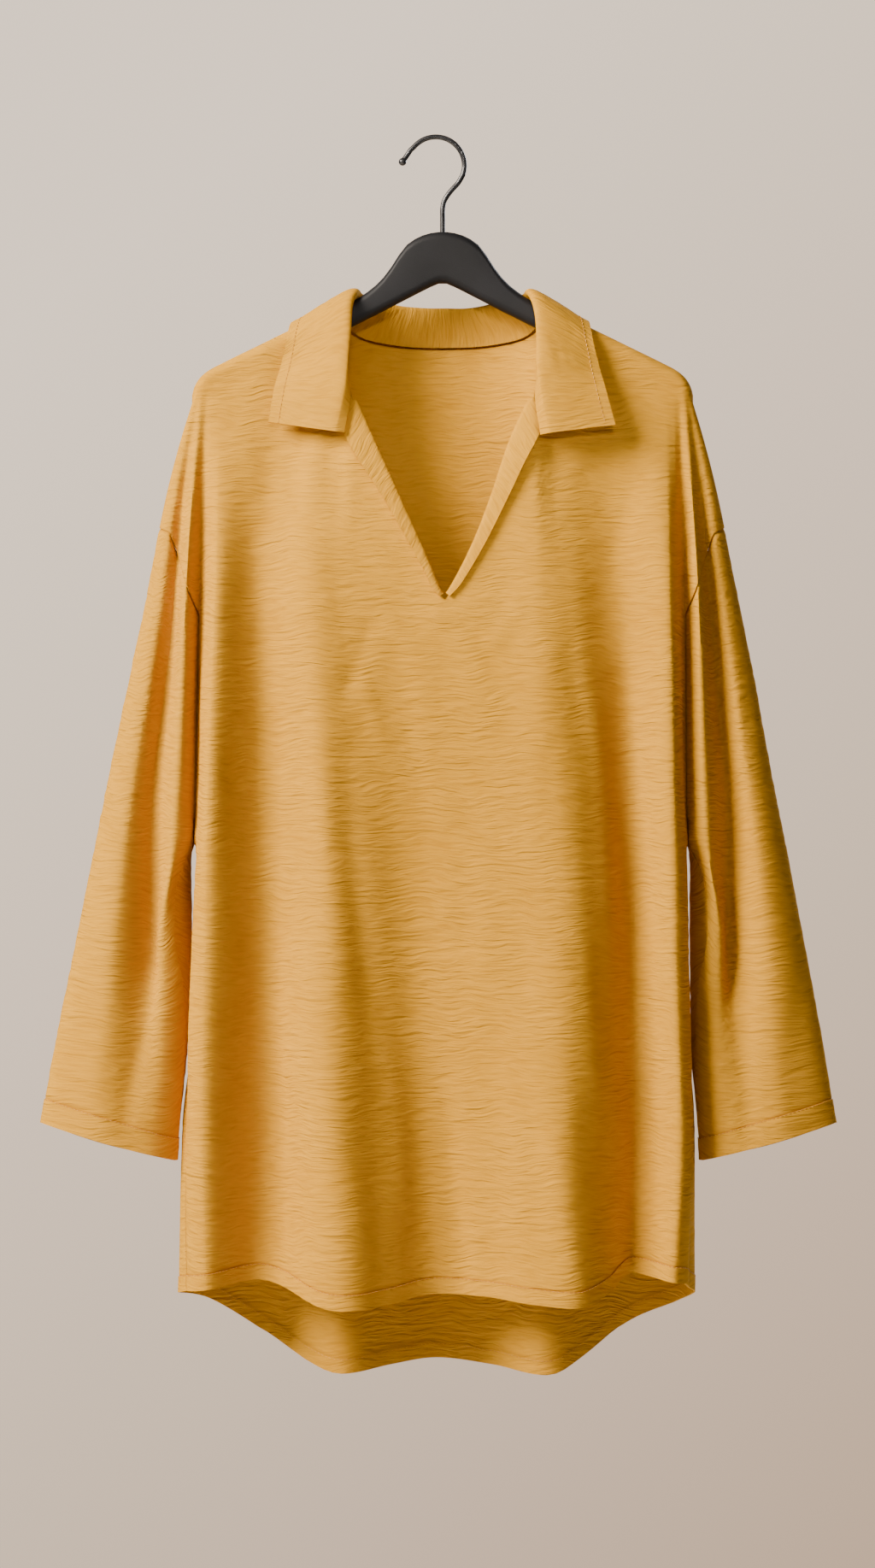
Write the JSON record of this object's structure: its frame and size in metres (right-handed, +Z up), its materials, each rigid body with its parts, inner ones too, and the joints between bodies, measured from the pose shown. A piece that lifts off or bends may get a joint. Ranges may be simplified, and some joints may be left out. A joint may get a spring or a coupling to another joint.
{
  "type": "tunic top on a hanger",
  "caption": "Loose long-sleeved tunic top with a turn-down collar and open V slit, hung on an arched hanger with a wire hook.",
  "frame": {"origin": "inner top of the hook, where the rail bears", "axes": "+Z up, front of the garment faces -Y, wearer's right at -X"},
  "size_m": [0.6537, 0.11, 1.0182],
  "materials": {
    "cloth": "matte, horizontally crinkled",
    "hanger": "matte",
    "hook": "satin black"
  },
  "bodies": {
    "root": {"front_panel": "cloth", "back_panel": "cloth", "right_sleeve": "cloth", "left_sleeve": "cloth", "collar": "cloth", "right_slit_facing": "cloth", "left_slit_facing": "cloth", "hanger": "hanger", "hook": "hook"}
  },
  "joints": []
}
